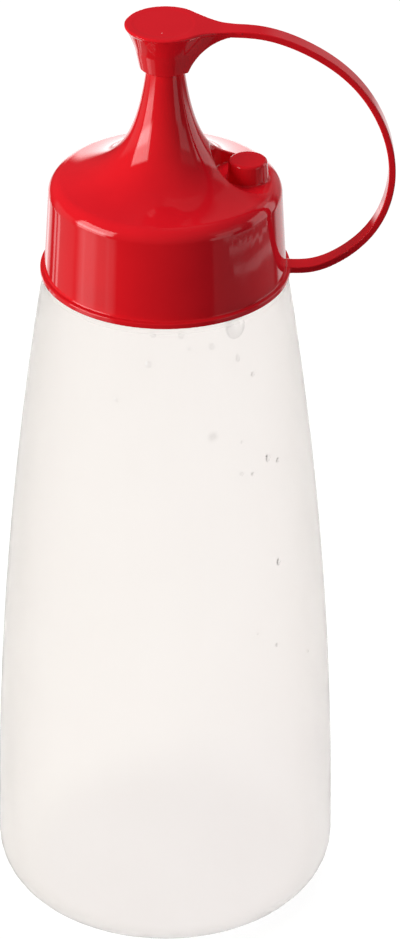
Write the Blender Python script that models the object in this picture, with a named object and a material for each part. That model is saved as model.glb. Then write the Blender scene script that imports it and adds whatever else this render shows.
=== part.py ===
"""A squeeze bottle: a blown body, and a screwed-on closure with a tethered tip cap.

The closure is one moulding: skirt with a flange, trumpet nozzle, storage peg in its
pocket, and the strap that carries the tip cap from the flange round to the nozzle.
Metres, +Z up. The origin is the centre of the base, and the strap is on the +X side.
"""

import math

import bmesh
import bpy
import numpy as np

# Bottle: the side is a parabola, BODY_TAPER is how fast it narrows in 1/m
BODY_RADIUS = 0.0375
BODY_WIDEST_Z = 0.0056
BODY_TAPER = 0.54
BODY_TOP_Z = 0.1509
HEEL_RADIUS = 0.0102
WALL = 0.0010
FLOOR = 0.0012
BEAD_RADIUS = 0.0262
BEAD_TOP_Z = 0.1524
BEAD_GROOVE = 0.0004
BEAD_CHAMFER = 0.0003
NECK_RADIUS = 0.0215
NECK_TOP_Z = 0.1690
NECK_WALL = 0.0013

# Closure: flange and skirt
FLANGE_RADIUS = 0.0265
FLANGE_BOTTOM_Z = 0.1527
FLANGE_HEIGHT = 0.0013
FLANGE_SLOPE = 0.0002
SKIRT_FOOT_RADIUS = 0.0256
SKIRT_TOP_RADIUS = 0.02445
SHOULDER_FILLET = 0.0024
CLOSURE_WALL = 0.0016

# Closure: the trumpet is the hyperbola z = TRUMPET_FOOT_Z + TRUMPET_FLARE / r
TRUMPET_FOOT_Z = 0.16877
TRUMPET_FLARE = 0.0001232
TRUMPET_OUTER_RADIUS = 0.0215
LINING_OUTER_RADIUS = 0.0228
LINING_INNER_RADIUS = 0.0035
NOZZLE_TIP_Z = 0.2065
NOZZLE_BORE_RADIUS = 0.0015

# Closure: storage peg and the flat-bottomed pocket round it
PEG_X = 0.0173
PEG_RADIUS = 0.0044
PEG_TOP_RADIUS = 0.0040
PEG_TOP_Z = 0.1788
PEG_EDGE = 0.0006
POCKET_RADIUS = 0.0080
POCKET_FLOOR_Z = 0.1744

# Closure: tip cap
TIP_CAP_RIM_Z = 0.2003
TIP_CAP_TOP_Z = 0.2101
TIP_CAP_RIM_RADIUS = 0.0053
TIP_CAP_DISC_RADIUS = 0.00835
TIP_CAP_LIP = 0.0005
TIP_CAP_TAPER = 0.20
TIP_CAP_FLARE_START = 0.45
TIP_CAP_FLARE_POWER = 1.5
TIP_CAP_GAP = 0.0003

# Closure: strap, given by the points its centreline passes through, as (x, z)
STRAP_WIDTH = 0.0041
STRAP_THICKNESS = 0.00145
STRAP_ROUTE = [
    (0.0040, 0.20930),
    (0.0110, 0.20870),
    (0.0192, 0.20795),
    (0.0290, 0.20450),
    (0.0389, 0.19710),
    (0.0456, 0.18600),
    (0.0474, 0.17480),
    (0.0440, 0.16345),
    (0.0370, 0.15635),
    (0.0307, 0.15365),
    (0.0249, 0.15350),
]
GUSSET_END_X = 0.0157
GUSSET_END_Z = 0.20795
GUSSET_REACH = 0.0110
GUSSET_ARC_RADIUS = 0.01175
GUSSET_PLAN_RADIUS = 0.0150

# Small fillets, and how far a cutter or an added shape runs past what it meets
EDGE_FILLET = 0.0003
CORNER_FILLET = 0.0010
OVERSHOOT = 0.0010

# Facets
BIG_SEGMENTS = 52
SMALL_SEGMENTS = 32
SIDE_STATIONS = 9
TRUMPET_STATIONS = 13
LINING_STATIONS = 8
FLARE_STATIONS = 6
BORE_STATIONS = 4
GUSSET_STATIONS = 12
STRAP_STATIONS = 30
ARC_FACETS = 5
TINY_ARC_FACETS = 2


def plastic(name, colour, roughness, transmission=0.0):
    """A material with one Principled BSDF."""
    material = bpy.data.materials.new(name)
    material.use_nodes = True
    shader = material.node_tree.nodes["Principled BSDF"]
    shader.inputs["Base Color"].default_value = (*colour, 1.0)
    shader.inputs["Roughness"].default_value = roughness
    shader.inputs["Metallic"].default_value = 0.0
    shader.inputs["Transmission Weight"].default_value = transmission
    return material


def add_object(name, mesh, material=None):
    """Put a mesh in the scene, smooth where its faces meet at a shallow angle."""
    mesh.shade_smooth()
    mesh.set_sharp_from_angle(angle=math.radians(35))
    piece = bpy.data.objects.new(name, mesh)
    bpy.context.collection.objects.link(piece)
    if material:
        mesh.materials.append(material)
    return piece


def tool(piece):
    """Mark an object as a shape that only adds to or cuts another."""
    piece.hide_render = True
    piece.display_type = "WIRE"
    return piece


def combine(target, other, operation):
    """Add a Boolean modifier of the given operation."""
    modifier = target.modifiers.new(f"{operation.lower()}_{other.name}", "BOOLEAN")
    modifier.operation = operation
    modifier.solver = "EXACT"
    modifier.object = other


def rounded(corners):
    """Replace each (r, z, fillet) corner with an arc tangent to both of its sides."""
    outline = []
    for index, (r, z, fillet) in enumerate(corners):
        corner = np.array((r, z))
        if not fillet:
            outline.append(corner)
            continue
        back = np.array(corners[index - 1][:2]) - corner
        ahead = np.array(corners[index + 1][:2]) - corner
        back /= np.linalg.norm(back)
        ahead /= np.linalg.norm(ahead)
        half_angle = math.acos(np.clip(back @ ahead, -1, 1)) / 2
        middle = (back + ahead) / np.linalg.norm(back + ahead)
        centre = corner + middle * fillet / math.sin(half_angle)
        start = corner + back * fillet / math.tan(half_angle) - centre
        end = corner + ahead * fillet / math.tan(half_angle) - centre
        sweep = math.pi - 2 * half_angle
        facets = ARC_FACETS if fillet > CORNER_FILLET else TINY_ARC_FACETS
        for step in range(facets + 1):
            share = step / facets
            weight_start = math.sin((1 - share) * sweep) / math.sin(sweep)
            weight_end = math.sin(share * sweep) / math.sin(sweep)
            outline.append(centre + weight_start * start + weight_end * end)
    return outline


def stacked(name, rings, material=None):
    """Join rings of points into a closed body. A ring of one point is an apex."""
    bm = bmesh.new()
    levels = [[bm.verts.new(point) for point in ring] for ring in rings]
    for low, high in zip(levels, levels[1:]):
        count = max(len(low), len(high))
        for index in range(count):
            after = (index + 1) % count
            corners = [low[index % len(low)], low[after % len(low)]]
            corners += [high[after % len(high)], high[index % len(high)]]
            bm.faces.new(list(dict.fromkeys(corners)))
    for level in (levels[0], levels[-1]):
        if len(level) > 1:
            bm.faces.new(level)
    bmesh.ops.recalc_face_normals(bm, faces=bm.faces[:])
    mesh = bpy.data.meshes.new(name)
    bm.to_mesh(mesh)
    bm.free()
    return add_object(name, mesh, material)


def turned(name, outline, segments, material=None, centre_x=0.0):
    """Turn an (r, z) outline, which starts and ends on the axis, round a Z axis."""
    rings = []
    for r, z in outline:
        turns = range(segments if r > 0 else 1)
        angles = [2 * math.pi * turn / segments for turn in turns]
        rings.append([(centre_x + r * math.cos(a), r * math.sin(a), z) for a in angles])
    return stacked(name, rings, material)


def body_radius(z):
    """Radius of the body's outer side, a parabola that narrows towards the neck."""
    return BODY_RADIUS - BODY_TAPER * (z - BODY_WIDEST_Z) ** 2


def bottle():
    """The blown body: one even wall from the floor up to an open neck."""
    side = np.linspace(1.2 * HEEL_RADIUS, BODY_TOP_Z, SIDE_STATIONS)
    groove_radius = BEAD_RADIUS - BEAD_GROOVE
    outside = [(0.0, 0.0, 0), (BODY_RADIUS, 0.0, HEEL_RADIUS)]
    outside += [(body_radius(z), z, 0) for z in side]
    outside += [
        (groove_radius, BODY_TOP_Z + BEAD_CHAMFER, 0),
        (BEAD_RADIUS, BODY_TOP_Z + 2 * BEAD_CHAMFER, 0),
        (BEAD_RADIUS, BEAD_TOP_Z, EDGE_FILLET),
        (NECK_RADIUS, BEAD_TOP_Z, 0),
        (NECK_RADIUS, NECK_TOP_Z, 0),
    ]
    shoulder_z = BEAD_TOP_Z - WALL
    inner_neck = NECK_RADIUS - NECK_WALL
    inside = [
        (inner_neck, NECK_TOP_Z, 0),
        (inner_neck, shoulder_z, CORNER_FILLET / 2),
        (body_radius(shoulder_z) - WALL, shoulder_z, CORNER_FILLET),
    ]
    inside += [(body_radius(z) - WALL, z, 0) for z in side[-2::-1]]
    inside += [(BODY_RADIUS - WALL, FLOOR, HEEL_RADIUS - WALL), (0.0, FLOOR, 0)]
    milky = plastic("milky_polyethylene", (0.90, 0.88, 0.85), 0.35, 0.6)
    return turned("bottle", rounded(outside) + rounded(inside), BIG_SEGMENTS, milky)


def trumpet(radii, inset=0.0):
    """Points of the hyperbola at the given radii, moved inwards along its normal."""
    points = []
    for r in radii:
        slope = -TRUMPET_FLARE / r**2
        normal = np.array((-slope, 1.0)) / math.hypot(slope, 1.0)
        points.append(np.array((r, TRUMPET_FOOT_Z + TRUMPET_FLARE / r)) - inset * normal)
    return points


def trumpet_radius(z):
    """Radius of the hyperbola at height z."""
    return TRUMPET_FLARE / (z - TRUMPET_FOOT_Z)


def closure_blank():
    """The closure's outside, before anything is cut from it."""
    flange_top = FLANGE_BOTTOM_Z + FLANGE_HEIGHT
    tip_radius = trumpet_radius(NOZZLE_TIP_Z)
    flare = trumpet(np.geomspace(TRUMPET_OUTER_RADIUS, tip_radius, TRUMPET_STATIONS))
    corners = [
        (0.0, FLANGE_BOTTOM_Z, 0),
        (FLANGE_RADIUS, FLANGE_BOTTOM_Z, 0),
        (FLANGE_RADIUS, flange_top, 0),
        (SKIRT_FOOT_RADIUS, flange_top + FLANGE_SLOPE, 0),
        (SKIRT_TOP_RADIUS, trumpet([SKIRT_TOP_RADIUS])[0][1], SHOULDER_FILLET),
    ]
    corners += [(r, z, 0) for r, z in flare]
    corners += [(0.0, NOZZLE_TIP_Z, 0)]
    red = plastic("red_polypropylene", (0.62, 0.012, 0.020), 0.12)
    return turned("closure", rounded(corners), BIG_SEGMENTS, red)


def hollow():
    """The inside of the skirt and the nozzle, an even wall below the outside."""
    radii = np.geomspace(LINING_OUTER_RADIUS, LINING_INNER_RADIUS, LINING_STATIONS)
    lining = trumpet(radii, inset=CLOSURE_WALL)
    corners = [
        (0.0, FLANGE_BOTTOM_Z - OVERSHOOT),
        (SKIRT_FOOT_RADIUS - CLOSURE_WALL, FLANGE_BOTTOM_Z - OVERSHOOT),
        (SKIRT_TOP_RADIUS - CLOSURE_WALL, lining[0][1]),
    ]
    corners += [tuple(point) for point in lining if point[0] > NOZZLE_BORE_RADIUS]
    corners += [
        (NOZZLE_BORE_RADIUS, lining[-1][1] + OVERSHOOT),
        (NOZZLE_BORE_RADIUS, NOZZLE_TIP_Z + OVERSHOOT),
        (0.0, NOZZLE_TIP_Z + OVERSHOOT),
    ]
    inside = tool(turned("hollow", corners, BIG_SEGMENTS))
    boss = cylinder("pocket_boss", POCKET_RADIUS + CLOSURE_WALL, POCKET_FLOOR_Z - CLOSURE_WALL)
    combine(inside, boss, "DIFFERENCE")
    return inside


def cylinder(name, radius, bottom_z):
    """A round tool on the peg's axis, up past the highest thing that it cuts."""
    outline = [(0.0, bottom_z), (radius, bottom_z), (radius, NOZZLE_TIP_Z), (0.0, NOZZLE_TIP_Z)]
    return tool(turned(name, outline, SMALL_SEGMENTS, centre_x=PEG_X))


def peg():
    """The stud that the open tip cap is pressed on."""
    foot_z = POCKET_FLOOR_Z - CLOSURE_WALL / 2
    outline = rounded(
        [
            (0.0, foot_z, 0),
            (PEG_RADIUS, foot_z, 0),
            (PEG_TOP_RADIUS, PEG_TOP_Z, PEG_EDGE),
            (0.0, PEG_TOP_Z, 0),
        ]
    )
    return tool(turned("peg", outline, SMALL_SEGMENTS, centre_x=PEG_X))


def tip_cap():
    """The cup over the nozzle's tip, flaring into a thin flat disc."""
    height = TIP_CAP_TOP_Z - TIP_CAP_LIP - TIP_CAP_RIM_Z
    flare = TIP_CAP_DISC_RADIUS - TIP_CAP_RIM_RADIUS - TIP_CAP_TAPER * height
    corners = [(0.0, TIP_CAP_RIM_Z, 0)]
    for share in (0.0, *np.linspace(TIP_CAP_FLARE_START, 1.0, FLARE_STATIONS)):
        above = max(0.0, share - TIP_CAP_FLARE_START) / (1 - TIP_CAP_FLARE_START)
        radius = TIP_CAP_RIM_RADIUS + TIP_CAP_TAPER * height * share
        radius += flare * above**TIP_CAP_FLARE_POWER
        corners.append((radius, TIP_CAP_RIM_Z + height * share, 0))
    corners += [(TIP_CAP_DISC_RADIUS, TIP_CAP_TOP_Z, EDGE_FILLET), (0.0, TIP_CAP_TOP_Z, 0)]
    return tool(turned("tip_cap", rounded(corners), SMALL_SEGMENTS))


def tip_cap_bore():
    """The room for the nozzle's tip inside the cup."""
    heights = np.linspace(TIP_CAP_RIM_Z - OVERSHOOT, NOZZLE_TIP_Z + TIP_CAP_GAP, BORE_STATIONS)
    outline = [(0.0, heights[0])]
    outline += [(trumpet_radius(z) + TIP_CAP_GAP, z) for z in heights]
    outline += [(0.0, heights[-1])]
    return tool(turned("tip_cap_bore", outline, SMALL_SEGMENTS))


def strap_route():
    """Points and tangents of a natural cubic spline through the route."""
    knots = np.array(STRAP_ROUTE)
    chords = np.linalg.norm(np.diff(knots, axis=0), axis=1)
    at = np.concatenate(([0.0], np.cumsum(chords)))
    size = len(knots)
    system = np.eye(size)
    bends = np.zeros((size, 2))
    for i in range(1, size - 1):
        system[i, i - 1 : i + 2] = (chords[i - 1], 2 * (chords[i - 1] + chords[i]), chords[i])
        slopes = (knots[i + 1] - knots[i]) / chords[i] - (knots[i] - knots[i - 1]) / chords[i - 1]
        bends[i] = 6 * slopes
    second = np.linalg.solve(system, bends)
    gusset_length = GUSSET_END_X - STRAP_ROUTE[0][0]
    stations = list(np.linspace(0.0, gusset_length, GUSSET_STATIONS, endpoint=False))
    stations += list(np.linspace(gusset_length, at[-1], STRAP_STATIONS))
    points, tangents = [], []
    for s in stations:
        i = min(int(np.searchsorted(at, s, side="right")) - 1, size - 2)
        h = chords[i]
        a = (at[i + 1] - s) / h
        b = 1 - a
        curve = (a**3 - a) * second[i] + (b**3 - b) * second[i + 1]
        points.append(a * knots[i] + b * knots[i + 1] + curve * h**2 / 6)
        turn = (3 * b**2 - 1) * second[i + 1] - (3 * a**2 - 1) * second[i]
        tangent = (knots[i + 1] - knots[i]) / h + turn * h / 6
        tangents.append(tangent / np.linalg.norm(tangent))
    return points, tangents


def gusset_half_width(x):
    """Half the strap's width, wider near the disc by an arc tangent to both."""
    straight = STRAP_WIDTH / 2
    arc_centre_y = straight + GUSSET_PLAN_RADIUS
    reach = TIP_CAP_DISC_RADIUS + GUSSET_PLAN_RADIUS
    arc_centre_x = math.sqrt(reach**2 - arc_centre_y**2)
    if x > arc_centre_x:
        return straight
    touch_x = arc_centre_x * TIP_CAP_DISC_RADIUS / reach
    along = max(x, touch_x)
    return arc_centre_y - math.sqrt(GUSSET_PLAN_RADIUS**2 - (arc_centre_x - along) ** 2)


def gusset_bottom(x):
    """Height of the hollow arc under the strap's start."""
    across = min(GUSSET_END_X - x, GUSSET_REACH)
    arc_centre_z = GUSSET_END_Z - GUSSET_ARC_RADIUS
    return arc_centre_z + math.sqrt(GUSSET_ARC_RADIUS**2 - across**2)


def strap():
    """The band from the tip cap round to the flange, with the gusset under its start."""
    rings = []
    for (x, z), (along_x, along_z) in zip(*strap_route()):
        out = np.array((-along_z, along_x)) * STRAP_THICKNESS / 2
        top_x, top_z = np.array((x, z)) + out
        low_x, low_z = np.array((x, z)) - out
        half = STRAP_WIDTH / 2
        top_half = half
        if x < GUSSET_END_X and z > TIP_CAP_RIM_Z:
            top_half = gusset_half_width(x)
            low_x, low_z = x, min(low_z, gusset_bottom(x))
        rings.append(
            [
                (top_x, -top_half, top_z),
                (top_x, top_half, top_z),
                (low_x, half, low_z),
                (low_x, -half, low_z),
            ]
        )
    return tool(stacked("strap", rings))


def closure():
    """The red moulding: blank, hollow, pocket, peg, and the tethered tip cap."""
    moulding = closure_blank()
    combine(moulding, hollow(), "DIFFERENCE")
    combine(moulding, cylinder("pocket", POCKET_RADIUS, POCKET_FLOOR_Z), "DIFFERENCE")
    combine(moulding, peg(), "UNION")
    tether = tip_cap()
    combine(tether, strap(), "UNION")
    combine(tether, tip_cap_bore(), "DIFFERENCE")
    combine(moulding, tether, "UNION")
    return moulding


def main():
    """Clear the scene and model the two pieces."""
    for leftover in list(bpy.data.objects):
        bpy.data.objects.remove(leftover, do_unlink=True)
    bottle()
    closure()


main()
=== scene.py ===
"""The looks of the squeeze bottle: milky body, glossy red closure, droplets, studio and camera."""
import math

import bmesh
import bpy
import numpy as np
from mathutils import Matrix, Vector

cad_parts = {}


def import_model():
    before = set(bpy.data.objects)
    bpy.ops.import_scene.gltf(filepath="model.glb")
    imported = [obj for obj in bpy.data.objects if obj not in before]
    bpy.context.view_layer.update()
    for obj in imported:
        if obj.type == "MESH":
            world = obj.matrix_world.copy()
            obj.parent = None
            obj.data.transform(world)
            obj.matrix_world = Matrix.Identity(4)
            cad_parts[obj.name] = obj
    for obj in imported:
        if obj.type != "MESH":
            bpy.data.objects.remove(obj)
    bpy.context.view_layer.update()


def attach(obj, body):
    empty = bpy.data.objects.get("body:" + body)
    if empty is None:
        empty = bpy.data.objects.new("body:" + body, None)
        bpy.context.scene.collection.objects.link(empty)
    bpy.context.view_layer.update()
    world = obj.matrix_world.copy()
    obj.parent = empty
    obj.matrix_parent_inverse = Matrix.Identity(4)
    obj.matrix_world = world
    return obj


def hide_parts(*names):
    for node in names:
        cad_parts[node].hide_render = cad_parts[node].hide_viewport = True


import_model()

# Sizes and places are in metres, on the CAD model's axes, unless a comment says otherwise.

# Bottle. The side is a parabola, and BODY_TAPER is how fast it narrows in 1/m.
BODY_RADIUS, BODY_WIDEST_Z, BODY_TAPER, BODY_TOP_Z = 0.0375, 0.0056, 0.54, 0.1509
HEEL_RADIUS, WALL, FLOOR = 0.0102, 0.0010, 0.0012
SIDE_START_Z = 1.2 * HEEL_RADIUS
BEAD_RADIUS, BEAD_TOP_Z, BEAD_GROOVE, BEAD_CHAMFER = 0.0262, 0.1524, 0.0004, 0.0003
NECK_RADIUS, NECK_TOP_Z, NECK_WALL = 0.0215, 0.1690, 0.0013
BOTTLE_CREASE = math.radians(40)

# Closure: flange, skirt and trumpet, the hyperbola z = TRUMPET_FOOT_Z + TRUMPET_FLARE / r
FLANGE_RADIUS, FLANGE_BOTTOM_Z, FLANGE_HEIGHT = 0.0265, 0.1527, 0.0013
SKIRT_FOOT_RADIUS, SKIRT_TOP_RADIUS, SHOULDER_Z = 0.0256, 0.02445, 0.1738
SHOULDER_FILLET, CLOSURE_WALL = 0.0024, 0.0016
TRUMPET_FOOT_Z, TRUMPET_FLARE = 0.16877, 0.0001232
NOZZLE_TIP_Z, NOZZLE_BORE_RADIUS = 0.2065, 0.0015

# Closure: storage peg and its pocket
PEG_X, PEG_RADIUS, PEG_TOP_RADIUS, PEG_TOP_Z, PEG_EDGE = 0.0173, 0.0044, 0.0040, 0.1788, 0.0006
POCKET_RADIUS, POCKET_FLOOR_Z, POCKET_CORNER, POCKET_EDGE = 0.0080, 0.1744, 0.0004, 0.00025

# Closure: tip cap. Its cup has CUP_RADIUS at CUP_FOOT_Z, flares above CUP_FLARE_Z and ends in a
# thin disc, which is sunk inside its rim but for the mark that the mould's gate left.
TIP_CAP_RIM_Z, TIP_CAP_TOP_Z, TIP_CAP_GAP = 0.2003, 0.2101, 0.0003
CUP_RADIUS, CUP_FOOT_Z, CUP_TAPER, CUP_FLARE_Z = 0.0052, 0.1994, 0.20, 0.2044
CUP_FLARE, CUP_FLARE_HEIGHT, CUP_FLARE_POWER = 0.00111, 0.0052, 1.5
CUP_LOWEST_Z, CUP_HIGHEST_Z = 0.1993, 0.2106
DISC_RADIUS, DISC_LIP, DISC_EDGE = 0.00835, 0.0007, 0.00025
RAMP_START_X, RAMP_END_X = 0.0042, 0.0122
DISH_RADIUS, DISH_DEPTH, DISH_SLOPE, DISH_SQUEEZE = 0.0071, 0.000045, 0.0007, 1.15
GATE_X, GATE_Y, GATE_RADIUS, GATE_HEIGHT = -0.0007, -0.0050, 0.0003, 0.000045

# Closure: strap, given by the points its centreline passes through, as (x, z)
STRAP_WIDTH, STRAP_THICKNESS, STRAP_EDGE = 0.0041, 0.00145, 0.00025
STRAP_ROUTE = [
    (0.0040, 0.20930),
    (0.0110, 0.20850),
    (0.0192, 0.20795),
    (0.0290, 0.20450),
    (0.0389, 0.19710),
    (0.0456, 0.18600),
    (0.0474, 0.17480),
    (0.0440, 0.16345),
    (0.0370, 0.15635),
    (0.0307, 0.15365),
    (0.0249, 0.15350),
]
STRAP_START_X = 0.0092
GUSSET_ARC_X, GUSSET_ARC_Z, GUSSET_ARC_RADIUS, GUSSET_PLAN_RADIUS = 0.0157, 0.1962, 0.01175, 0.0150

EDGE_FILLET = 0.0003

# Closure: the grid its distance field is sampled on, as (start, step) pairs along each axis, fine
# round the nozzle, flange, shoulder and tip cap, and the share of its triangles that is kept
GRID = (
    ((-0.0275, 0.0003), (-0.0046, 0.00018), (0.0046, 0.0003), (0.0495, 0)),
    (
        (-0.0275, 0.0004), (-0.0095, 0.00025), (-0.0046, 0.00018),
        (0.0046, 0.00025), (0.0095, 0.0004), (0.0275, 0),
    ),
    (
        (0.1520, 0.0002), (0.1545, 0.0005), (0.1700, 0.00025),
        (0.1810, 0.0004), (0.1995, 0.0002), (0.2107, 0),
    ),
)
KEPT_TRIANGLES = 0.38

# A distance that stands for out of reach, and how far short of the strap's own range of x the
# search for its centreline starts
FAR_AWAY, SEARCH_MARGIN = 1.0, 0.0015

# Water on the bottle, each drop as (degrees round from the front, height, width, how much taller
# than wide). DROP_RISE is how far a drop as wide as tall stands off the side, by its width. Its
# rim is DROP_SINK under the side and the middle of its back DROP_ROOT. The rim bulges in lobes,
# each as (how many round the rim, size, radians of turn for each degree of the drop's place).
DROPS = (
    (33.7, 0.1511, 0.0049, 1.25),
    (-7.4, 0.1446, 0.0016, 1.00),
    (-5.6, 0.1512, 0.0013, 1.15),
    (7.2, 0.1511, 0.0014, 1.30),
    (10.7, 0.1479, 0.0009, 0.90),
    (21.4, 0.1477, 0.0014, 1.15),
    (33.9, 0.1438, 0.0013, 1.35),
    (41.2, 0.1390, 0.0011, 1.10),
    (-21.3, 0.1359, 0.0010, 1.20),
    (32.7, 0.1249, 0.0007, 1.00),
    (45.3, 0.1189, 0.0015, 1.20),
    (50.9, 0.1172, 0.0010, 1.10),
    (31.8, 0.1177, 0.0010, 1.00),
    (36.9, 0.1168, 0.0009, 1.00),
    (46.9, 0.0938, 0.0014, 1.15),
    (35.1, 0.0791, 0.0006, 1.00),
    (43.5, 0.0743, 0.0008, 1.10),
    (61.3, 0.0674, 0.0008, 1.20),
)
DROP_RISE, DROP_SINK, DROP_ROOT, DROP_TOP_Z = 0.24, 0.00003, 0.00012, 0.15255
DROP_LOBES = ((2, 0.05, 40), (3, 0.03, 1))

# Red plastic: colours and roughness from noise of these periods, and relief of these depths
RED_CLOUD, RED_CLOUD_PERIOD = ((0.3, (0.72, 0.0085, 0.019)), (0.7, (0.78, 0.0100, 0.021))), 0.012
RED_ROUGHNESS, RED_WEAR_PERIOD, RED_IOR = (0.0, 0.085), 0.004, 1.49
RED_WAVE_PERIOD, RED_WAVE_DEPTH = 0.009, 0.000035
RED_STREAK_PERIOD, RED_STREAK_DEPTH = 0.0011, 0.000005
RED_PEEL_PERIOD, RED_PEEL_DEPTH = 0.0007, 0.0000006

# Milky plastic, in the same terms, with a smudge on the front and a darker patch, the base
MILKY_CLOUD = ((0.3, (0.965, 0.941, 0.928)), (0.7, (0.978, 0.957, 0.945)))
MILKY_CLOUD_PERIOD, MILKY_IOR, MILKY_TRANSMISSION = 0.018, 1.10, 0.96
MILKY_DRAWN_PERIOD, MILKY_DRAWN_SHARE, MILKY_DRAWN_DEPTH = 0.0035, 0.4, 0.00003
MILKY_ROUGHNESS, MILKY_HAZE_PERIOD = (0.42, 0.56), 0.006
MILKY_PEEL_PERIOD, MILKY_PEEL_DEPTH = 0.0009, 0.000004
SMUDGE, SMUDGE_RADIUS, SMUDGE_PERIOD = (0.0100, -0.0277, 0.1277), 0.0019, 0.0012
SMUDGE_COLOUR = (0.60, 0.58, 0.57)
FOOT_RADIUS, FOOT_FADE, FOOT_TINT = 0.0275, 0.0025, (0.93, 0.925, 0.925)

# Water. At its real IOR of 1.33 domes of this shape show dark crescents, so the IOR is lower,
# and a coat gives the surface its reflections.
WATER_COLOUR, WATER_IOR = (0.97, 0.97, 0.97), 1.07
WATER_ROUGHNESS, WATER_HAZE_PERIOD = (0.0, 0.06), 0.0015
WATER_RIPPLE_PERIOD, WATER_RIPPLE_DEPTH = 0.0008, 0.00001
WATER_COAT_IOR, WATER_COAT_ROUGHNESS = 1.5, 0.05

# Camera, fitted to the photograph, with the pixel column that the bottle's axis stands on. The
# sensor spans the frame's longer side, its height.
CAMERA_PLACE = (0.0, -0.89055, 0.63393)
CAMERA_PITCH = math.radians(30.79)
FOCAL_PIXELS, SENSOR_MILLIMETRES = 4777.4, 36.0
AXIS_PIXEL_X = 165.3
FRAME_WIDTH, FRAME_HEIGHT = 400, 939

# What the gloss sees: each light as (azimuth from, to, elevation from, to, edge, radiance).
# Azimuth is in degrees from +Y towards +X, and elevation is in degrees above the horizon.
REFLECTED = (
    (-129, -88, 2, 33, 5, 5.2),
    (-122, -90, -12, 14, 6, 4.6),
    (-131, -87, -47, -14, 7, 0.75),
    (-110, -91, -47, -16, 8, 0.8),
    (-97, -94, -47, -16, 3, 0.3),
    (-125, -122, -47, -16, 3, 0.25),
    (-84, -52, -60, 12, 10, 0.4),
    (-57, -53, -60, -20, 3, 1.5),
    (-49, -45, -60, -20, 3, 1.5),
    (-36, -20, -60, -12, 6, 1.2),
    (-27, 46, -60, -15, 8, 1.2),
    (-12, 15, -14, 11, 6, 3.0),
    (20, 44, -16, 14, 8, 0.45),
    (14, 40, 14, 32, 8, 0.32),
    (52, 90, -14, 26, 6, 1.6),
    (40, 62, 22, 40, 8, 0.6),
    (54, 92, -60, -16, 8, 0.2),
    (92, 134, -60, -16, 4, 0.19),
    (104, 131, 2, 20, 5, 0.8),
    (114, 137, -16, 2, 5, 1.0),
    (98, 134, 16, 36, 10, 0.2),
    (8, 44, 38, 55, 6, 0.18),
    (-4, 60, 64, 90, 6, 0.12),
)
REFLECTED_BASE, REFLECTED_SKY = 0.04, 0.06

# What lights the dull side of things from all round, in the same form
SCATTERED = (
    (-25, 60, -70, 0, 16, 0.9),
    (60, 120, -70, -4, 16, 1.9),
    (-180, -140, -30, 40, 20, 0.25),
    (140, 180, -30, 40, 20, 0.25),
)
SCATTERED_BASE, SCATTERED_SKY = 0.04, 0.0

# The sky starts at the horizon with an edge of SKY_EDGE degrees and has no upper end.
SKY_EDGE, NO_UPPER_END = 30, 200
BACKDROP = 1.06

# Area lights as (name, place, target, size, watts, colour)
AREA_LIGHTS = (
    ("key", (-0.87, -0.46, 0.40), (0.0, 0.0, 0.12), (0.5, 0.7), 10.5, (1.0, 1.0, 0.72)),
    ("top", (0.1, 0.25, 1.1), (0.0, 0.0, 0.1), (0.8, 0.8), 7.5, (1.0, 1.0, 1.0)),
)

# Low curved cards at the right that only gloss sees, as (radius at 90 degrees of azimuth, radius
# gained per radian, depth, azimuth from, to, radiance)
CARDS = (
    (0.4680, 0.043, 0.080, 58, 124, 0.62),
    (0.4030, 0.043, 0.010, 58, 118, 0.85),
    (0.3820, 0.045, 0.009, 56, 114, 0.8),
)
CARD_HEIGHT = 0.003

FLOOR_RADIUS, FLOOR_GREY, FLOOR_GLOW = 6.0, 0.15, 0.93
BLACK, WHITE = 0.0, 1.0


def join(a, b, radius):
    """Union of two distance fields, with a fillet where they meet."""
    return np.maximum(radius, np.minimum(a, b)) - np.hypot(
        np.maximum(radius - a, 0.0), np.maximum(radius - b, 0.0)
    )


def meet(a, b, radius):
    """What two distance fields share, with a rounded edge."""
    return -join(-a, -b, radius)


def cut(a, b, radius):
    """The first distance field without the second, with a rounded edge."""
    return -join(-a, b, radius)


def ease(share):
    """0 below 0 and 1 above 1, with a soft step between them."""
    share = np.clip(share, 0.0, 1.0)
    return share**2 * (3 - 2 * share)


def strap_curve(count=121):
    """Points, unit tangents and curvatures of a natural cubic spline through the route."""
    knots = np.array(STRAP_ROUTE)
    chords = np.linalg.norm(np.diff(knots, axis=0), axis=1)
    ends = np.concatenate(([0.0], np.cumsum(chords)))
    size = len(knots)
    slopes = np.diff(knots, axis=0) / chords[:, None]
    system, bends = np.eye(size), np.zeros((size, 2))
    for i in range(1, size - 1):
        system[i, i - 1 : i + 2] = (chords[i - 1], 2 * (chords[i - 1] + chords[i]), chords[i])
        bends[i] = 6 * (slopes[i] - slopes[i - 1])
    second = np.linalg.solve(system, bends)
    places = np.linspace(0.0, ends[-1], count)
    i = np.clip(np.searchsorted(ends, places, side="right") - 1, 0, size - 2)
    chord = chords[i][:, None]
    a = (ends[i + 1] - places)[:, None] / chord
    b = 1 - a
    points = a * knots[i] + b * knots[i + 1]
    points += ((a**3 - a) * second[i] + (b**3 - b) * second[i + 1]) * chord**2 / 6
    first = slopes[i] + ((3 * b**2 - 1) * second[i + 1] - (3 * a**2 - 1) * second[i]) * chord / 6
    turning = a * second[i] + b * second[i + 1]
    speed = np.linalg.norm(first, axis=1)
    curvature = (first[:, 0] * turning[:, 1] - first[:, 1] * turning[:, 0]) / speed**3
    return points, first / speed[:, None], curvature


CURVE_POINTS, CURVE_TANGENTS, CURVE_BENDS = strap_curve()


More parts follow.
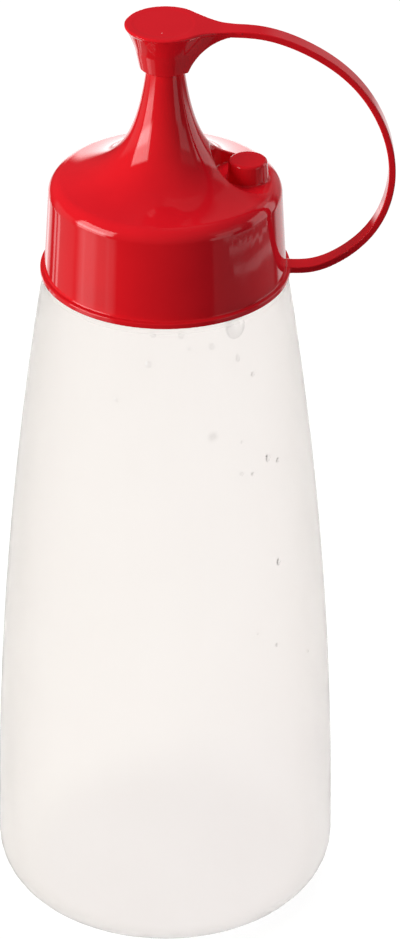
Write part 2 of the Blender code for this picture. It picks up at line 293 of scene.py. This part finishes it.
def strap_offset(x, z):
    """Distance from the strap's centreline in its plane, and how far past its lower end."""
    shape = np.broadcast(x, z).shape
    x, z = np.broadcast_to(x, shape), np.broadcast_to(z, shape)
    side, past = np.full(shape, FAR_AWAY), np.full(shape, FAR_AWAY)
    close = x > STRAP_START_X - SEARCH_MARGIN
    close &= (z > TIP_CAP_RIM_Z) | (x > CURVE_POINTS[-1, 0] - SEARCH_MARGIN)
    spots = np.stack([x[close], z[close]], 1)
    if not len(spots):
        return side, past
    distance = -2 * spots @ CURVE_POINTS.T + (CURVE_POINTS**2).sum(1)
    near = distance.argmin(1)
    gap, along = spots - CURVE_POINTS[near], CURVE_TANGENTS[near]
    forward = (gap * along).sum(1)
    left = gap[:, 1] * along[:, 0] - gap[:, 0] * along[:, 1]
    bend = CURVE_BENDS[near]
    side[close] = left - 0.5 * bend * forward**2 / (1 - bend * left)
    past[close] = np.where(near == len(CURVE_POINTS) - 1, forward, -FAR_AWAY)
    return side, past


def trumpet(r, z, smallest=1e-5):
    """Distance above the trumpet's flare."""
    r = np.maximum(r, smallest)
    return (z - TRUMPET_FOOT_Z - TRUMPET_FLARE / r) / np.sqrt(1 + (TRUMPET_FLARE / r**2) ** 2)


def cup_radius(z):
    """Outer radius of the tip cap's cup."""
    z = np.clip(z, CUP_LOWEST_Z, CUP_HIGHEST_Z)
    flare = np.maximum((z - CUP_FLARE_Z) / CUP_FLARE_HEIGHT, 0.0) ** CUP_FLARE_POWER
    return CUP_RADIUS + CUP_TAPER * (z - CUP_FOOT_Z) + CUP_FLARE * flare


def teardrop(x, y, radius, smallest=1e-12):
    """Outline, in plan, of a disc drawn out into the strap by an arc tangent to both."""
    reach = radius + GUSSET_PLAN_RADIUS
    across = STRAP_WIDTH / 2 + GUSSET_PLAN_RADIUS
    centre_x = np.sqrt(reach**2 - across**2)
    back = centre_x - np.minimum(x, centre_x)
    rise = np.sqrt(np.maximum(GUSSET_PLAN_RADIUS**2 - back**2, smallest))
    tail = (np.abs(y) - across + rise) / np.hypot(1.0, back / rise)
    return np.where(x < centre_x * radius / reach, np.hypot(x, y) - radius, tail)


def tip_cap_top(x):
    """Height of the disc's top, which dips into the strap's start."""
    station = np.abs(CURVE_POINTS[:, 0] - RAMP_END_X).argmin()
    along_x, along_z = CURVE_TANGENTS[station]
    strap_x = CURVE_POINTS[station, 0] - along_z * STRAP_THICKNESS / 2
    strap_z = CURVE_POINTS[station, 1] + along_x * STRAP_THICKNESS / 2
    line = strap_z + along_z / along_x * (x - strap_x)
    share = ease((x - RAMP_START_X) / (RAMP_END_X - RAMP_START_X))
    return TIP_CAP_TOP_Z + (line - TIP_CAP_TOP_Z) * share


def dish(x, y):
    """How far the disc's top is sunk inside its rim, with the gate mark left standing."""
    inward = DISH_RADIUS - np.hypot(np.where(x > 0, DISH_SQUEEZE * x, x), y)
    from_gate = np.hypot(x - GATE_X, y - GATE_Y)
    sunk = DISH_DEPTH * ease(inward / DISH_SLOPE)
    return sunk - GATE_HEIGHT * ease(2 - 2 * from_gate / GATE_RADIUS)


def tether(x, y, z):
    """Distance field of the tip cap and the strap."""
    r = np.hypot(x, y)
    side, past = strap_offset(x, z)
    ramp = z - tip_cap_top(x) + dish(x, y)
    top = np.where(x < RAMP_END_X, ramp, side - STRAP_THICKNESS / 2)
    cup = (r - cup_radius(z)) / math.hypot(1, CUP_TAPER)
    arch = GUSSET_ARC_RADIUS - np.hypot(x - GUSSET_ARC_X, z - GUSSET_ARC_Z)
    gusset = np.maximum(np.maximum(teardrop(x, y, cup_radius(z)), arch), x - GUSSET_ARC_X)
    body = meet(np.minimum(cup, gusset), TIP_CAP_RIM_Z - z, EDGE_FILLET)
    lip = np.abs(top + DISC_LIP / 2) - DISC_LIP / 2
    disc = np.maximum(meet(teardrop(x, y, DISC_RADIUS), lip, DISC_EDGE), x - GUSSET_ARC_X)
    body = join(np.maximum(body, top + DISC_LIP / 2), disc, EDGE_FILLET)
    bore = np.maximum(trumpet(r, z), z - NOZZLE_TIP_Z) - TIP_CAP_GAP
    body = cut(body, bore, EDGE_FILLET / 2)
    strap = meet(np.abs(side) - STRAP_THICKNESS / 2, np.abs(y) - STRAP_WIDTH / 2, STRAP_EDGE)
    start = np.where(z < POCKET_FLOOR_Z, -FAR_AWAY, STRAP_START_X - x)
    return np.minimum(body, np.maximum(strap, np.maximum(past, start)))


def moulding(x, y, z):
    """Distance field of the skirt, flange, nozzle, pocket and peg."""
    r = np.hypot(x, y)
    flange_top = FLANGE_BOTTOM_Z + FLANGE_HEIGHT
    draft = (SKIRT_FOOT_RADIUS - SKIRT_TOP_RADIUS) / (SHOULDER_Z - flange_top)
    side = (r - SKIRT_FOOT_RADIUS + draft * (z - flange_top)) / math.hypot(1, draft)
    flare = trumpet(r, z)
    body = meet(meet(side, flare, SHOULDER_FILLET), z - NOZZLE_TIP_Z, EDGE_FILLET)
    flange = np.abs(z - flange_top + FLANGE_HEIGHT / 2) - FLANGE_HEIGHT / 2
    flange = meet(r - FLANGE_RADIUS, flange, EDGE_FILLET)
    flange = np.maximum(flange, SKIRT_FOOT_RADIUS - CLOSURE_WALL - r)
    body = join(np.maximum(body, FLANGE_BOTTOM_Z - z), flange, EDGE_FILLET)
    from_peg = np.hypot(x - PEG_X, y)
    boss = np.maximum(from_peg - POCKET_RADIUS, POCKET_FLOOR_Z - z) - CLOSURE_WALL
    lining = np.maximum(meet(side, flare, SHOULDER_FILLET) + CLOSURE_WALL, -boss)
    lining = np.minimum(lining, np.maximum(r - NOZZLE_BORE_RADIUS, POCKET_FLOOR_Z - z))
    body = cut(body, lining, EDGE_FILLET)
    pocket = meet(from_peg - POCKET_RADIUS, POCKET_FLOOR_Z - z, POCKET_CORNER)
    body = cut(body, pocket, POCKET_EDGE)
    taper = (PEG_RADIUS - PEG_TOP_RADIUS) / (PEG_TOP_Z - POCKET_FLOOR_Z)
    peg = (from_peg - PEG_RADIUS + taper * (z - POCKET_FLOOR_Z)) / math.hypot(1, taper)
    peg = np.maximum(meet(peg, z - PEG_TOP_Z, PEG_EDGE), POCKET_FLOOR_Z - CLOSURE_WALL / 2 - z)
    return join(body, peg, POCKET_CORNER)


def closure_field(x, y, z):
    """Distance field of the whole red moulding."""
    return join(moulding(x, y, z), tether(x, y, z), EDGE_FILLET)


def gradient(field, points, step=1e-6):
    """Value and slope of a distance field at each point."""
    value = field(*points.T)
    slope = np.empty_like(points)
    for axis in range(3):
        ahead = points.copy()
        ahead[:, axis] += step
        slope[:, axis] = (field(*ahead.T) - value) / step
    return value, slope


def settle(field, points, rounds=2, flattest=0.25):
    """Move points onto the surface where the field is zero."""
    for _ in range(rounds):
        value, slope = gradient(field, points)
        size = np.maximum((slope**2).sum(1), flattest)
        points = points - slope * (value / size)[:, None]
    return points


def surface_net(field, grid):
    """Vertices and quads of the surface where the field is zero, on a rectilinear grid."""
    shape = [len(ticks) for ticks in grid]
    values = np.empty(shape)
    for k in range(shape[2]):
        values[:, :, k] = field(grid[0][:, None], grid[1][None, :], np.full((1, 1), grid[2][k]))
    inside = values < 0
    corners = [(i, j, k) for i in (0, 1) for j in (0, 1) for k in (0, 1)]

    def corner_block(block, corner):
        return block[tuple(slice(c, n - 1 + c) for c, n in zip(corner, shape))]

    held = sum(corner_block(inside, corner).astype(np.int8) for corner in corners)
    cells = np.argwhere((held > 0) & (held < len(corners)))
    number = np.full([n - 1 for n in shape], -1)
    number[tuple(cells.T)] = np.arange(len(cells))

    total, count = np.zeros((len(cells), 3)), np.zeros(len(cells))
    for corner in corners:
        for axis in range(3):
            if corner[axis]:
                continue
            end = cells + corner
            far = end.copy()
            far[:, axis] += 1
            a, b = values[tuple(end.T)], values[tuple(far.T)]
            crossed = (a < 0) != (b < 0)
            share = a[crossed] / (a[crossed] - b[crossed])
            spot = np.stack([grid[n][end[crossed, n]] for n in range(3)], 1)
            spot[:, axis] += share * (grid[axis][far[crossed, axis]] - spot[:, axis])
            total[crossed] += spot
            count[crossed] += 1
    vertices = total / count[:, None]

    quads = []
    for axis in range(3):
        u, v = (axis + 1) % 3, (axis + 2) % 3
        ahead = np.moveaxis(inside, axis, 0)
        change = np.moveaxis(ahead[1:] != ahead[:-1], 0, axis)
        edges = np.argwhere(change)
        edges = edges[(edges[:, u] > 0) & (edges[:, v] > 0)]
        edges = edges[(edges[:, u] < shape[u] - 1) & (edges[:, v] < shape[v] - 1)]
        ring = []
        for du, dv in ((-1, -1), (0, -1), (0, 0), (-1, 0)):
            cell = edges.copy()
            cell[:, u] += du
            cell[:, v] += dv
            ring.append(number[tuple(cell.T)])
        ring = np.stack(ring, 1)
        leaving = inside[tuple(edges.T)]
        quads.append(np.where(leaving[:, None], ring, ring[:, ::-1]))
    return vertices, np.concatenate(quads)


def add_object(name, data):
    """A new object in the scene, with its mesh, light or camera."""
    piece = bpy.data.objects.new(name, data)
    bpy.context.collection.objects.link(piece)
    return piece


def mesh_from_arrays(name, vertices, faces, material):
    """A smooth mesh object from arrays of vertices and of faces with equally many sides."""
    mesh = bpy.data.meshes.new(name)
    mesh.vertices.add(len(vertices))
    mesh.vertices.foreach_set("co", np.ascontiguousarray(vertices, np.float32).ravel())
    mesh.loops.add(faces.size)
    mesh.loops.foreach_set("vertex_index", np.ascontiguousarray(faces, np.int32).ravel())
    mesh.polygons.add(len(faces))
    starts = np.arange(0, faces.size, faces.shape[1], dtype=np.int32)
    mesh.polygons.foreach_set("loop_start", starts)
    mesh.update(calc_edges=True)
    mesh.shade_smooth()
    mesh.materials.append(material)
    return add_object(name, mesh)


def mesh_from_bmesh(name, bm, material, weld):
    """A smooth mesh object, with points closer than weld joined and its faces turned outwards."""
    bmesh.ops.remove_doubles(bm, verts=bm.verts[:], dist=weld)
    bmesh.ops.recalc_face_normals(bm, faces=bm.faces[:])
    mesh = bpy.data.meshes.new(name)
    bm.to_mesh(mesh)
    bm.free()
    mesh.shade_smooth()
    mesh.materials.append(material)
    return add_object(name, mesh)


def spaced(stretches):
    """Ticks from (start, step) pairs, each running to the next start; the last ends it."""
    coarse = 1.0
    ticks = [
        np.linspace(start, end, max(1, round((end - start) / step / coarse)), endpoint=False)
        for (start, step), (end, _) in zip(stretches, stretches[1:])
    ]
    return np.concatenate([*ticks, [stretches[-1][0]]])


def thinned(piece, share):
    """The piece's mesh with only a share of its triangles."""
    modifier = piece.modifiers.new("thin", "DECIMATE")
    modifier.ratio = share
    depsgraph = bpy.context.evaluated_depsgraph_get()
    mesh = bpy.data.meshes.new_from_object(piece.evaluated_get(depsgraph))
    piece.modifiers.clear()
    return mesh


def closure(material):
    """The red moulding as one fine mesh, with normals straight from its distance field."""
    vertices, quads = surface_net(closure_field, [spaced(stretches) for stretches in GRID])
    vertices = settle(closure_field, vertices)
    piece = mesh_from_arrays("closure_moulding", vertices, quads, material)
    mesh = piece.data = thinned(piece, KEPT_TRIANGLES)
    spots = np.empty(3 * len(mesh.vertices), np.float32)
    mesh.vertices.foreach_get("co", spots)
    spots = settle(closure_field, spots.reshape(-1, 3).astype(float))
    mesh.vertices.foreach_set("co", spots.astype(np.float32).ravel())
    _, normals = gradient(closure_field, spots)
    normals /= np.linalg.norm(normals, axis=1)[:, None]
    mesh.update()
    mesh.shade_smooth()
    mesh.normals_split_custom_set_from_vertices(normals)
    return piece


def rounded(corners, facets=10):
    """Replace each (r, z, fillet) corner with an arc tangent to both of its sides."""
    outline = []
    for index, (r, z, fillet) in enumerate(corners):
        corner = np.array((r, z))
        if not fillet:
            outline.append(corner)
            continue
        back = np.array(corners[index - 1][:2]) - corner
        ahead = np.array(corners[index + 1][:2]) - corner
        back /= np.linalg.norm(back)
        ahead /= np.linalg.norm(ahead)
        half_angle = math.acos(np.clip(back @ ahead, -1, 1)) / 2
        middle = (back + ahead) / np.linalg.norm(back + ahead)
        centre = corner + middle * fillet / math.sin(half_angle)
        start = corner + back * fillet / math.tan(half_angle) - centre
        end = corner + ahead * fillet / math.tan(half_angle) - centre
        sweep = math.pi - 2 * half_angle
        for share in np.linspace(0.0, 1.0, facets + 1):
            weight_start = math.sin((1 - share) * sweep) / math.sin(sweep)
            weight_end = math.sin(share * sweep) / math.sin(sweep)
            outline.append(centre + weight_start * start + weight_end * end)
    return outline


def body_radius(z):
    """Radius of the body's outer side."""
    return BODY_RADIUS - BODY_TAPER * (z - BODY_WIDEST_Z) ** 2


def bottle_outline(side_points=40):
    """The wall's cut outline as (r, z, fillet), up its outer side and down its inner side."""
    side = np.linspace(SIDE_START_Z, BODY_TOP_Z, side_points)
    shoulder_z = BEAD_TOP_Z - WALL
    inner_neck = NECK_RADIUS - NECK_WALL
    return [
        (0.0, 0.0, 0),
        (BODY_RADIUS, 0.0, HEEL_RADIUS),
        *((body_radius(z), z, 0) for z in side),
        (BEAD_RADIUS - BEAD_GROOVE, BODY_TOP_Z + BEAD_CHAMFER, 0),
        (BEAD_RADIUS, BODY_TOP_Z + 2 * BEAD_CHAMFER, 0),
        (BEAD_RADIUS, BEAD_TOP_Z, EDGE_FILLET),
        (NECK_RADIUS, BEAD_TOP_Z, 0),
        (NECK_RADIUS, NECK_TOP_Z, EDGE_FILLET),
        (inner_neck, NECK_TOP_Z, EDGE_FILLET),
        (inner_neck, shoulder_z, 2 * EDGE_FILLET),
        (body_radius(shoulder_z) - WALL, shoulder_z, WALL),
        *((body_radius(z) - WALL, z, 0) for z in side[-2::-1]),
        (BODY_RADIUS - WALL, FLOOR, HEEL_RADIUS - WALL),
        (0.0, FLOOR, 0),
    ]


def bottle(material, segments=256):
    """The blown body, turned from the outline of its wall."""
    bm = bmesh.new()
    points = [bm.verts.new((r, 0.0, z)) for r, z in rounded(bottle_outline())]
    edges = [bm.edges.new(pair) for pair in zip(points, points[1:])]
    bmesh.ops.spin(
        bm, geom=points + edges, axis=(0, 0, 1), cent=(0, 0, 0), angle=2 * math.pi, steps=segments,
        use_merge=True, use_duplicate=False,
    )
    piece = mesh_from_bmesh("bottle_body", bm, material, weld=1e-6)
    piece.data.set_sharp_from_angle(angle=BOTTLE_CREASE)
    return piece


def drop_skin(degrees, height, width, taller, rings, spokes):
    """Points over one drop's dome, ring after ring from top to rim, and the one behind it."""
    angle = math.radians(degrees)
    out = np.array((math.sin(angle), -math.cos(angle), 0.0))
    across, up = np.array((math.cos(angle), math.sin(angle), 0.0)), np.array((0.0, 0.0, 1.0))
    points = []
    for ring in range(rings + 1):
        polar = math.pi / 2 * ring / rings
        for spoke in range(spokes):
            turn = 2 * math.pi * spoke / spokes
            lobes = (size * math.sin(count * turn + shift * degrees) for count, size, shift in DROP_LOBES)
            reach = width / 2 * math.sin(polar) * (1 + sum(lobes))
            z = min(height + reach * taller * math.sin(turn), DROP_TOP_Z)
            rise = DROP_RISE * width / taller * math.cos(polar) ** 2
            skin = body_radius(z) - DROP_SINK + rise
            points.append(out * skin + across * reach * math.cos(turn) + up * z)
    base = out * (body_radius(height) - DROP_ROOT) + up * height
    return points, base


def droplets(material, rings=8, spokes=28):
    """The drops as one mesh of closed domes on the body's side."""
    bm = bmesh.new()
    for drop in DROPS:
        points, base = drop_skin(*drop, rings, spokes)
        skin = [bm.verts.new(point) for point in points]
        under = bm.verts.new(base)
        for ring in range(rings):
            for spoke in range(spokes):
                a, b = ring * spokes + spoke, ring * spokes + (spoke + 1) % spokes
                bm.faces.new((skin[a], skin[a + spokes], skin[b + spokes], skin[b]))
        rim = skin[-spokes:]
        for spoke in range(spokes):
            bm.faces.new((rim[spoke], under, rim[(spoke + 1) % spokes]))
    return mesh_from_bmesh("water_drops", bm, material, weld=1e-7)


def new_material(name):
    """An empty node material and its Principled shader."""
    material = bpy.data.materials.new(name)
    material.use_nodes = True
    return material, material.node_tree, material.node_tree.nodes["Principled BSDF"]


def opaque(colour):
    """A colour with full alpha."""
    return (*colour, 1.0)


class Nodes:
    """Short calls that add and link shader nodes."""

    def __init__(self, tree):
        self.tree = tree

    def add(self, kind, **settings):
        node = self.tree.nodes.new(kind)
        for name, value in settings.items():
            setattr(node, name, value)
        return node

    def set(self, socket, value):
        if isinstance(value, bpy.types.NodeSocket):
            self.tree.links.new(value, socket)
        else:
            socket.default_value = value

    def math(self, operation, *values):
        node = self.add("ShaderNodeMath", operation=operation)
        for socket, value in zip(node.inputs, values):
            self.set(socket, value)
        return node.outputs[0]

    def mix(self, share, first, second):
        node = self.add("ShaderNodeMix")
        for index, value in ((0, share), (2, first), (3, second)):
            self.set(node.inputs[index], value)
        return node.outputs[0]

    def mix_colour(self, share, first, second, blend="MIX"):
        node = self.add("ShaderNodeMix", data_type="RGBA", blend_type=blend)
        for index, value in ((0, share), (6, first), (7, second)):
            self.set(node.inputs[index], value)
        return node.outputs[2]

    def between(self, value, low, high, soft):
        """1 inside the range, 0 outside, with soft edges."""
        ends = []
        for start, end in ((low - soft / 2, low + soft / 2), (high + soft / 2, high - soft / 2)):
            node = self.add("ShaderNodeMapRange", interpolation_type="SMOOTHSTEP")
            self.set(node.inputs["Value"], value)
            self.set(node.inputs["From Min"], start)
            self.set(node.inputs["From Max"], end)
            ends.append(node.outputs["Result"])
        return self.math("MULTIPLY", *ends)

    def ramp(self, value, stops):
        """Colour from a value, by (position, colour) stops."""
        node = self.add("ShaderNodeValToRGB")
        while len(node.color_ramp.elements) < len(stops):
            node.color_ramp.elements.new(0.5)
        for element, (position, colour) in zip(node.color_ramp.elements, stops):
            element.position = position
            element.color = opaque(colour)
        self.set(node.inputs["Fac"], value)
        return node.outputs["Color"]

    def object_place(self):
        """The shaded point in the object's own space."""
        return self.add("ShaderNodeTexCoord").outputs["Object"]

    def noise(self, period, stretch=(1.0, 1.0, 1.0), detail=2.0, distortion=0.0):
        """Noise in object space, about 0.3 to 0.7, its period stretched along each axis."""
        scale = self.add("ShaderNodeMapping")
        scale.inputs["Scale"].default_value = [1 / (period * along) for along in stretch]
        noise = self.add("ShaderNodeTexNoise")
        noise.inputs["Scale"].default_value = 1.0
        noise.inputs["Detail"].default_value = detail
        noise.inputs["Distortion"].default_value = distortion
        self.set(scale.inputs["Vector"], self.object_place())
        self.set(noise.inputs["Vector"], scale.outputs["Vector"])
        return noise.outputs["Fac"]

    def bump(self, height, depth, under=None):
        """Relief of a depth in metres, on top of the relief under it."""
        node = self.add("ShaderNodeBump")
        node.inputs["Distance"].default_value = depth
        self.set(node.inputs["Height"], height)
        if under is not None:
            self.set(node.inputs["Normal"], under)
        return node.outputs["Normal"]

    def distance(self, spot):
        """How far the shaded point is from a spot in object space."""
        node = self.add("ShaderNodeVectorMath", operation="DISTANCE")
        self.set(node.inputs[0], self.object_place())
        node.inputs[1].default_value = spot
        return node.outputs["Value"]

    def near(self, spot, radius):
        """1 at a spot, falling to 0 at a radius."""
        fall = self.add("ShaderNodeMapRange", interpolation_type="SMOOTHERSTEP")
        self.set(fall.inputs["Value"], self.distance(spot))
        self.set(fall.inputs["From Min"], radius)
        self.set(fall.inputs["From Max"], 0.0)
        return fall.outputs["Result"]


def red_plastic():
    """Glossy moulded polypropylene: slightly wavy, with flow streaks and fine handling marks."""
    material, tree, shader = new_material("red_polypropylene")
    nodes = Nodes(tree)
    cloud = nodes.noise(RED_CLOUD_PERIOD, detail=3.0)
    nodes.set(shader.inputs["Base Color"], nodes.ramp(cloud, RED_CLOUD))
    wear = nodes.noise(RED_WEAR_PERIOD, stretch=(1, 1, 3), detail=6.0, distortion=0.6)
    nodes.set(shader.inputs["Roughness"], nodes.mix(wear, *RED_ROUGHNESS))
    wave = nodes.noise(RED_WAVE_PERIOD, stretch=(1, 1, 1.6), detail=1.0)
    streak = nodes.noise(RED_STREAK_PERIOD, stretch=(1, 1, 14), detail=2.0)
    peel = nodes.noise(RED_PEEL_PERIOD, detail=2.0)
    relief = nodes.bump(wave, RED_WAVE_DEPTH)
    relief = nodes.bump(streak, RED_STREAK_DEPTH, relief)
    nodes.set(shader.inputs["Normal"], nodes.bump(peel, RED_PEEL_DEPTH, relief))
    shader.inputs["IOR"].default_value = RED_IOR
    return material


def milky_colour(nodes, drawn):
    """Cloudy white, with the smudge on the front and the darker base."""
    cloud = nodes.noise(MILKY_CLOUD_PERIOD, detail=2.0)
    colour = nodes.ramp(nodes.mix(MILKY_DRAWN_SHARE, cloud, drawn), MILKY_CLOUD)
    speckle = nodes.noise(SMUDGE_PERIOD, detail=3.0)
    dirt = nodes.math("MULTIPLY", nodes.near(SMUDGE, SMUDGE_RADIUS), speckle)
    colour = nodes.mix_colour(dirt, colour, opaque(SMUDGE_COLOUR))
    foot = nodes.between(nodes.distance((0.0, 0.0, 0.0)), -FAR_AWAY, FOOT_RADIUS, FOOT_FADE)
    return nodes.mix_colour(foot, colour, opaque(FOOT_TINT), "MULTIPLY")


def milky_plastic():
    """Translucent natural polyethylene: cloudy, and drawn upwards as it was blown."""
    material, tree, shader = new_material("milky_polyethylene")
    nodes = Nodes(tree)
    drawn = nodes.noise(MILKY_DRAWN_PERIOD, stretch=(1, 1, 12), detail=3.0)
    nodes.set(shader.inputs["Base Color"], milky_colour(nodes, drawn))
    haze = nodes.noise(MILKY_HAZE_PERIOD, detail=4.0)
    nodes.set(shader.inputs["Roughness"], nodes.mix(haze, *MILKY_ROUGHNESS))
    peel = nodes.noise(MILKY_PEEL_PERIOD, detail=3.0)
    relief = nodes.bump(drawn, MILKY_DRAWN_DEPTH)
    nodes.set(shader.inputs["Normal"], nodes.bump(peel, MILKY_PEEL_DEPTH, relief))
    shader.inputs["IOR"].default_value = MILKY_IOR
    shader.inputs["Transmission Weight"].default_value = MILKY_TRANSMISSION
    return material


def water():
    """Clear water with a trace of haze."""
    material, tree, shader = new_material("water")
    nodes = Nodes(tree)
    haze = nodes.noise(WATER_HAZE_PERIOD, detail=2.0)
    nodes.set(shader.inputs["Roughness"], nodes.mix(haze, *WATER_ROUGHNESS))
    ripple = nodes.noise(WATER_RIPPLE_PERIOD, detail=1.0)
    nodes.set(shader.inputs["Normal"], nodes.bump(ripple, WATER_RIPPLE_DEPTH))
    shader.inputs["Base Color"].default_value = opaque(WATER_COLOUR)
    shader.inputs["IOR"].default_value = WATER_IOR
    shader.inputs["Transmission Weight"].default_value = 1.0
    shader.inputs["Coat Weight"].default_value = 1.0
    shader.inputs["Coat IOR"].default_value = WATER_COAT_IOR
    shader.inputs["Coat Roughness"].default_value = WATER_COAT_ROUGHNESS
    return material


def glowing(name, grey, radiance):
    """A dull material for the studio that gives light of its own, but isn't sampled as a lamp."""
    material, tree, shader = new_material(name)
    shader.inputs["Base Color"].default_value = opaque((grey, grey, grey))
    shader.inputs["Roughness"].default_value = 1.0
    shader.inputs["Specular IOR Level"].default_value = 0.0
    shader.inputs["Emission Color"].default_value = opaque((WHITE, WHITE, WHITE))
    shader.inputs["Emission Strength"].default_value = radiance
    material.cycles.emission_sampling = "NONE"
    return material


def camera():
    """The camera that sees the bottle as the photograph does."""
    data = bpy.data.cameras.new("camera")
    data.sensor_width = SENSOR_MILLIMETRES
    data.lens = FOCAL_PIXELS * SENSOR_MILLIMETRES / FRAME_HEIGHT
    data.shift_x = (FRAME_WIDTH / 2 - AXIS_PIXEL_X) / FRAME_HEIGHT
    piece = add_object("camera", data)
    piece.location = CAMERA_PLACE
    piece.rotation_euler = (math.pi / 2 - CAMERA_PITCH, 0.0, 0.0)
    bpy.context.scene.camera = piece


def light_map(nodes, azimuth, elevation, lights, base, sky):
    """Radiance by direction: a base, a little more above, and each light of a list."""
    above = nodes.between(elevation, 0, NO_UPPER_END, SKY_EDGE)
    total = nodes.math("ADD", base, nodes.math("MULTIPLY", above, sky))
    for az_low, az_high, el_low, el_high, edge, radiance in lights:
        wide = nodes.between(azimuth, az_low, az_high, edge)
        tall = nodes.between(elevation, el_low, el_high, edge)
        light = nodes.math("MULTIPLY", nodes.math("MULTIPLY", wide, tall), radiance)
        total = nodes.math("ADD", total, light)
    return total


def world():
    """White to the camera and through the milky wall, soft lights and dark gaps to the gloss."""
    scene_world = bpy.data.worlds.new("studio")
    scene_world.use_nodes = True
    scene_world.cycles.sampling_method = "NONE"
    bpy.context.scene.world = scene_world
    tree = scene_world.node_tree
    tree.nodes.clear()
    nodes = Nodes(tree)
    direction = nodes.add("ShaderNodeSeparateXYZ")
    nodes.set(direction.inputs[0], nodes.add("ShaderNodeTexCoord").outputs["Generated"])
    x, y, z = direction.outputs
    azimuth = nodes.math("DEGREES", nodes.math("ARCTAN2", x, y))
    elevation = nodes.math("DEGREES", nodes.math("ARCSINE", z))
    gloss = light_map(nodes, azimuth, elevation, REFLECTED, REFLECTED_BASE, REFLECTED_SKY)
    dull = light_map(nodes, azimuth, elevation, SCATTERED, SCATTERED_BASE, SCATTERED_SKY)
    ray = nodes.add("ShaderNodeLightPath").outputs
    mirrored = nodes.math("SUBTRACT", ray["Is Glossy Ray"], ray["Is Transmission Ray"])
    seen = nodes.mix(nodes.math("MAXIMUM", mirrored, 0.0), BACKDROP, gloss)
    background = nodes.add("ShaderNodeBackground")
    nodes.set(background.inputs["Strength"], nodes.mix(ray["Is Diffuse Ray"], seen, dull))
    output = nodes.add("ShaderNodeOutputWorld")
    nodes.set(output.inputs["Surface"], background.outputs[0])


def area_light(name, place, target, size, watts, colour):
    """A soft rectangular light that neither gloss nor the milky wall sees."""
    data = bpy.data.lights.new(name, "AREA")
    data.shape = "RECTANGLE"
    data.size, data.size_y = size
    data.energy = watts
    data.color = colour
    piece = add_object(name, data)
    piece.location = place
    piece.rotation_euler = (Vector(target) - Vector(place)).to_track_quat("-Z", "Y").to_euler()
    piece.visible_glossy = False
    piece.visible_transmission = False


def cards(steps=48):
    """The low cards, each an arc about the bottle."""
    for number, (middle, gain, depth, low, high, radiance) in enumerate(CARDS):
        corners = []
        for azimuth in np.radians(np.linspace(low, high, steps + 1)):
            radius = middle + gain * (azimuth - math.pi / 2)
            for reach in (radius - depth / 2, radius + depth / 2):
                corners.append((reach * math.sin(azimuth), reach * math.cos(azimuth), CARD_HEIGHT))
        faces = [(2 * k, 2 * k + 2, 2 * k + 3, 2 * k + 1) for k in range(steps)]
        name = f"card_{number}"
        material = glowing(name, BLACK, radiance)
        piece = mesh_from_arrays(name, np.array(corners), np.array(faces), material)
        piece.visible_camera = False
        piece.visible_diffuse = False
        piece.visible_transmission = False
        piece.visible_shadow = False


def floor():
    """A plain pale floor that runs out to the white background."""
    mesh = bpy.data.meshes.new("floor")
    bm = bmesh.new()
    bmesh.ops.create_circle(bm, cap_ends=True, radius=FLOOR_RADIUS, segments=96)
    bm.to_mesh(mesh)
    bm.free()
    mesh.materials.append(glowing("floor_white", FLOOR_GREY, FLOOR_GLOW))
    piece = add_object("floor", mesh)
    piece.visible_glossy = False
    piece.visible_diffuse = False


def studio():
    """Soft light, strongest from the left and above."""
    world()
    floor()
    for light in AREA_LIGHTS:
        area_light(*light)
    cards()


camera()
bpy.context.scene.view_settings.view_transform = "Standard"

pieces = {
    "bottle": (bottle(milky_plastic()), "milky_polyethylene"),
    "closure": (closure(red_plastic()), "red_polypropylene"),
}
for node, (piece, slot) in pieces.items():
    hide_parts(node)
    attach(piece, "root")

drops = droplets(water())
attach(drops, "root")

studio()
